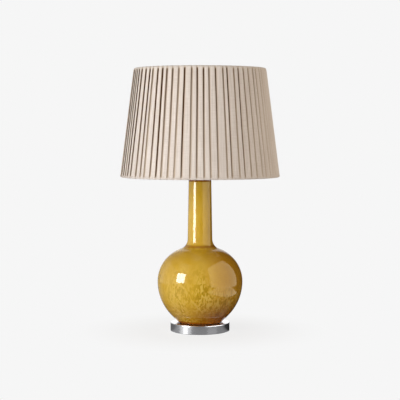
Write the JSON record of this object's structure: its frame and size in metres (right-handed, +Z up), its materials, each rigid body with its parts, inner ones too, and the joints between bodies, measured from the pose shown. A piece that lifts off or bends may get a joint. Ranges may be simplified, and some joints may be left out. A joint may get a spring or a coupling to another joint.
{
  "type": "table lamp",
  "caption": "Table lamp: glazed ceramic long-neck bottle on a round chromed base, with a knife-pleated empire shade on a wire frame and a push-bar lampholder.",
  "frame": {"origin": "on the lamp's axis, on the table under the foot pad", "axes": "+Z up the stem; +Y to the back, where the flex enters; +X to the right, along the push bar"},
  "size_m": [0.3554, 0.3554, 0.585],
  "materials": {
    "glaze": "glossy ochre glaze, mottled olive brown",
    "chrome": "polished chrome plate",
    "steel": "zinc plated",
    "iron": "as cast, painted black",
    "felt": "black felt",
    "board": "pressed board",
    "rubber": "soft ring",
    "black_plastic": "moulded",
    "white_plastic": "moulded",
    "insert_ceramic": "unglazed",
    "brass": "plain",
    "cap_metal": "bare",
    "cap_insulator": "black vitreous",
    "bulb_glass": "clear",
    "filament": "yellow phosphor",
    "wire_white": "white epoxy coat",
    "linen": "oatmeal linen, knife pleated",
    "lining": "off-white lining"
  },
  "bodies": {
    "lamp_body": {"foot_pad": "felt", "base_board": "board", "base_weight": "iron", "base_cap": "chrome", "inlet_bush": "black_plastic", "base_washer": "steel", "base_nut": "steel", "stem_tube": "steel", "seat_ring": "rubber", "jar": "glaze", "neck_gasket": "rubber", "neck_cap": "chrome", "neck_nut": "steel", "holder_body": "black_plastic", "holder_skirt": "black_plastic", "holder_insert": "insert_ceramic", "screw_shell": "brass", "centre_contact": "brass", "terminal_posts": "brass"},
    "push_switch": {"push_bar": "white_plastic"},
    "shade": {"fitter_ring": "wire_white", "shade_arm_1": "wire_white", "shade_arm_2": "wire_white", "shade_arm_3": "wire_white", "shade_bottom_ring": "wire_white", "shade_top_ring": "wire_white", "shade_strut_1": "wire_white", "shade_strut_2": "wire_white", "shade_strut_3": "wire_white", "shade_strut_4": "wire_white", "shade_strut_5": "wire_white", "shade_strut_6": "wire_white", "shade_lining": "lining", "pleated_cover": "linen"},
    "clamp_ring": {"shade_ring": "black_plastic"},
    "bulb_foot": {"bulb_contact": "brass", "bulb_insulator": "cap_insulator"},
    "bulb": {"bulb_screw_cap": "cap_metal", "bulb_glass": "bulb_glass", "bulb_mount": "bulb_glass", "bulb_filaments": "filament"}
  },
  "joints": [
    {"name": "switch_push", "type": "slide", "parent": "lamp_body", "child": "push_switch", "axis": [1, 0, 0], "range_m": [0, 0.005]},
    {"name": "shade_turn", "type": "hinge", "parent": "lamp_body", "child": "shade", "pos_m": [0, 0, 0.377], "axis": [0, 0, 1], "continuous": true},
    {"name": "shade_ring_turn", "type": "hinge", "parent": "lamp_body", "child": "clamp_ring", "pos_m": [0, 0, 0.382], "axis": [0, 0, 1], "range_deg": [0, 360]},
    {"name": "bulb_rise", "type": "slide", "parent": "lamp_body", "child": "bulb_foot", "axis": [0, 0, 1], "range_m": [0, 0.0218]},
    {"name": "bulb_turn", "type": "hinge", "parent": "bulb_foot", "child": "bulb", "pos_m": [0, 0, 0.385], "axis": [0, 0, 1], "range_deg": [0, 2160]}
  ],
  "couplings": [
    {"joint": "bulb_rise", "follows": "bulb_turn", "m_per_rad": 0.00057757}
  ]
}
